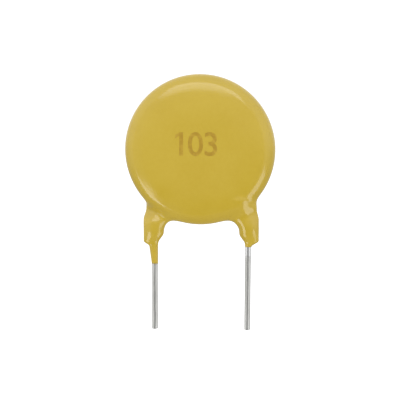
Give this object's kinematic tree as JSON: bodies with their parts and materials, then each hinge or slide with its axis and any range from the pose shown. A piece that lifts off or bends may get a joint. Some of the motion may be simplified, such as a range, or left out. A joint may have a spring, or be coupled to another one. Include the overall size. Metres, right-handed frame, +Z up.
{
  "type": "ceramic disc capacitor",
  "caption": "Round ceramic disc capacitor in a dipped yellow resin coating, with straight radial wire leads for a printed circuit board.",
  "frame": {"origin": "midway between the two leads on the seating plane, where the coating meets the circuit board", "axes": "+X across the leads towards the front lead, -Y out of the front face of the disc, +Z up from the board towards the disc"},
  "size_m": [0.0159, 0.004, 0.0272],
  "materials": {
    "yellow_resin": "gloss",
    "ceramic": "matte",
    "silver": "satin",
    "tinned_wire": "satin",
    "solder": "satin"
  },
  "bodies": {
    "root": {"coating": "yellow_resin", "ceramic_disc": "ceramic", "front_electrode": "silver", "back_electrode": "silver", "front_lead": "tinned_wire", "back_lead": "tinned_wire", "front_solder": "solder", "back_solder": "solder"}
  },
  "joints": []
}
